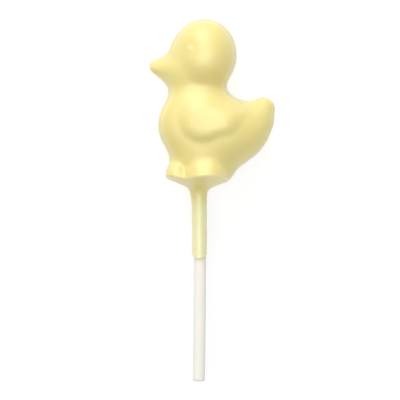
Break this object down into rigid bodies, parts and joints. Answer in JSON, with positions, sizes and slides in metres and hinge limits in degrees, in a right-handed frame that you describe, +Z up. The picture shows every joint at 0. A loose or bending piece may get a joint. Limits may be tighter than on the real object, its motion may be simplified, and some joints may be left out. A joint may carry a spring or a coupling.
{
  "type": "chocolate lollipop",
  "caption": "Duckling-shaped white chocolate lollipop, moulded in one piece with a sleeve round its rolled paper stick.",
  "frame": {"origin": "on the floor, under the middle of the whole lollipop's box as it lies on its far side", "axes": "+Y along the stick towards the duckling's head, +X towards its back and tail, +Z up to the shown side"},
  "size_m": [0.0417, 0.1206, 0.0253],
  "materials": {
    "chocolate": "yellow-tinted white chocolate, satin as it leaves the mould",
    "paper": "tightly rolled white paper, matte"
  },
  "bodies": {
    "root": {"duckling": "chocolate", "stick": "paper"}
  },
  "joints": []
}
